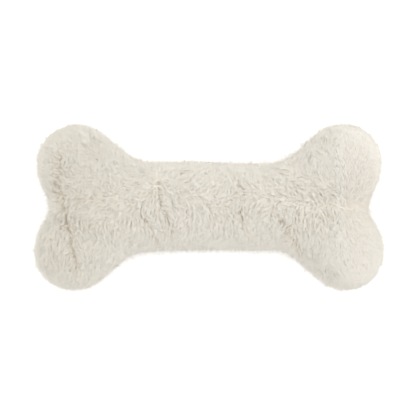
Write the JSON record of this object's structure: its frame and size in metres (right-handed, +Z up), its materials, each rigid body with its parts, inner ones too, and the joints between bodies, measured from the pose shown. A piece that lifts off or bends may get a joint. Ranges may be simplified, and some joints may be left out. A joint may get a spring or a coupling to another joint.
{
  "type": "plush bone dog toy",
  "caption": "Stuffed bone of deep cream faux fur for a dog, with round knuckles and a bellows squeaker inside the shaft.",
  "frame": {"origin": "under the middle of the toy, on the surface that it lies on", "axes": "+X along the bone to the right-hand knuckles, +Y across it to the back edge, +Z up through the upper fur panel"},
  "size_m": [0.3178, 0.1516, 0.0661],
  "materials": {
    "faux_fur": "deep soft pile, matte",
    "fibre_filling": "loose crimped polyester fibre, matte",
    "sewing_thread": "spun polyester thread, low sheen",
    "blown_polyethylene": "waxy, slightly see-through",
    "moulded_whistle": "smooth moulded, satin",
    "reed_strip": "thin rolled strip, bright"
  },
  "bodies": {
    "toy": {"fur_panel_upper": "faux_fur", "fur_panel_lower": "faux_fur", "seam_thread": "sewing_thread", "closing_thread": "sewing_thread", "filling_shaft_upper": "fibre_filling", "filling_shaft_lower": "fibre_filling", "filling_knuckle_back_left": "fibre_filling", "filling_knuckle_back_right": "fibre_filling", "filling_knuckle_front_left": "fibre_filling", "filling_knuckle_front_right": "fibre_filling", "squeaker_base": "blown_polyethylene", "squeaker_bellows": "blown_polyethylene", "whistle_barrel": "moulded_whistle", "reed_holder": "moulded_whistle", "reed_wedge": "moulded_whistle"},
    "crown": {"squeaker_crown": "blown_polyethylene"},
    "reed_tongue": {"reed": "reed_strip"}
  },
  "joints": [
    {"name": "squeaker_press", "type": "slide", "parent": "toy", "child": "crown", "axis": [0, 0, -1], "range_m": [0, 0.009], "stiffness_N_per_m": 900, "deforming": ["squeaker_bellows"]},
    {"name": "reed_beat", "type": "hinge", "parent": "toy", "child": "reed_tongue", "pos_m": [0, 0.00045, 0.02295], "axis": [1, 0, 0], "range_deg": [-3, 6], "stiffness_Nm_per_rad": 0.002}
  ]
}
